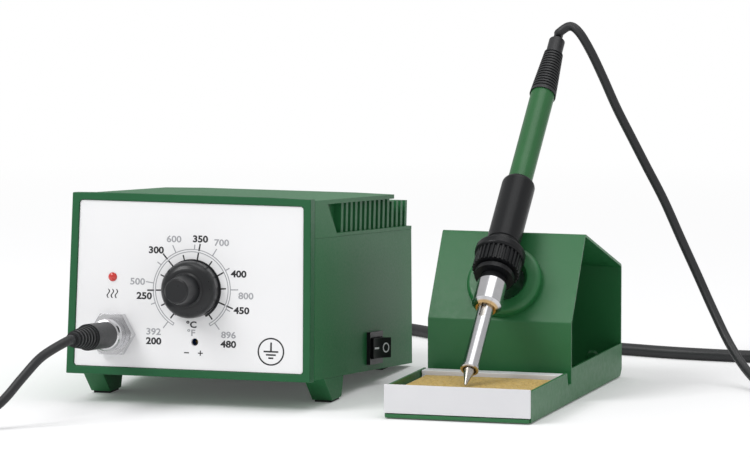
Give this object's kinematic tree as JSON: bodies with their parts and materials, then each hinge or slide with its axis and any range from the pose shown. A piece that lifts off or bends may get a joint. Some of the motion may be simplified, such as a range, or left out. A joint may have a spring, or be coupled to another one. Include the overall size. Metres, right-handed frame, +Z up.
{
  "type": "soldering station",
  "caption": "Temperature-controlled soldering station: leaning green control case with knob and rocker switch, iron on its cord, and a folded sheet stand with a sponge tray",
  "frame": {"origin": "middle of the outline of case, stand and iron on the table, without the cords", "axes": "+X from the control case to the stand, +Y from the front to the back, +Z up"},
  "size_m": [0.4612, 0.5187, 0.1713],
  "materials": {
    "green_plastic": "fine-textured moulded plastic",
    "green_paint": "smooth powder coat",
    "white_sheet": "smooth white coat",
    "panel_plastic": "smooth printed panel",
    "black_plastic": "satin",
    "black_rubber": "matte",
    "handle_green": "satin",
    "nickel": "bright nickel plate",
    "steel": "turned",
    "tip_plate": "tinned and plated",
    "brass_part": "turned",
    "ceramic": "white ceramic",
    "lamp_red": "translucent red lens",
    "board": "lacquered laminate",
    "parts": "component cases",
    "core": "varnished laminations",
    "winding": "taped winding",
    "sponge_cellulose": "open-pored cellulose",
    "blue_case": "glossy"
  },
  "bodies": {
    "station": {"case_cover": "green_plastic", "case_base": "green_plastic", "left_foot": "green_plastic", "right_foot": "green_plastic", "foot_pads": "black_rubber", "front_bezel": "green_plastic", "front_panel": "panel_plastic", "case_screws": "steel", "circuit_board": "board", "board_parts": "parts", "transformer_core": "core", "transformer_winding": "winding", "transformer_frame": "steel", "pot_body": "steel", "pot_nut": "nickel", "status_lamp": "lamp_red", "trimmer_body": "blue_case", "socket_shell": "nickel", "socket_nut": "nickel", "socket_insert": "black_plastic", "switch_body": "black_plastic", "cord_gland": "black_rubber", "stand_base": "green_paint", "stand_upright": "green_paint", "stand_rivets": "steel", "stand_pads": "black_rubber", "holder_ring": "green_plastic", "holder_sleeve": "steel", "iron_cord": "black_rubber", "plug_body": "black_plastic", "plug_ring": "nickel", "plug_boot": "black_rubber", "mains_cord": "black_rubber", "mains_coil": "black_rubber", "mains_tail": "black_rubber", "coil_tie": "black_plastic", "mains_plug": "black_plastic", "mains_pins": "brass_part", "mains_boot": "black_rubber"},
    "knob": {"temperature_knob": "black_plastic", "pot_shaft": "steel"},
    "rocker": {"switch_rocker": "black_plastic"},
    "trimmer": {"trimmer_screw": "brass_part"},
    "tray": {"sponge_tray": "white_sheet", "sponge": "sponge_cellulose"},
    "iron": {"iron_tip": "tip_plate", "heater_element": "ceramic", "tip_sleeve": "nickel", "sleeve_nut": "nickel", "iron_collar": "black_plastic", "grip_guard": "black_plastic", "iron_grip": "black_rubber", "iron_handle": "handle_green", "iron_boot": "black_rubber"}
  },
  "joints": [
    {"name": "knob_turn", "type": "hinge", "parent": "station", "child": "knob", "pos_m": [-0.0527, -0.07184, 0.05535], "axis": [0, -0.9969, 0.0785], "range_deg": [-188.6, 94.6]},
    {"name": "switch_rock", "type": "hinge", "parent": "station", "child": "rocker", "pos_m": [0.00581, 0.02701, 0.01758], "axis": [-0.0179, 0.0784, 0.9968], "range_deg": [0, 28]},
    {"name": "cal_turn", "type": "hinge", "parent": "station", "child": "trimmer", "pos_m": [-0.0509, -0.07377, 0.03083], "axis": [0, -0.9969, 0.0785], "range_deg": [-130, 130]},
    {"name": "tray_slide", "type": "slide", "parent": "station", "child": "tray", "axis": [0, -1, 0], "range_m": [0, 0.035]},
    {"name": "iron_lift", "type": "slide", "parent": "station", "child": "iron", "axis": [0, -0.6691, 0.7431], "range_m": [0, 0.08], "deforming": ["iron_cord"]}
  ]
}
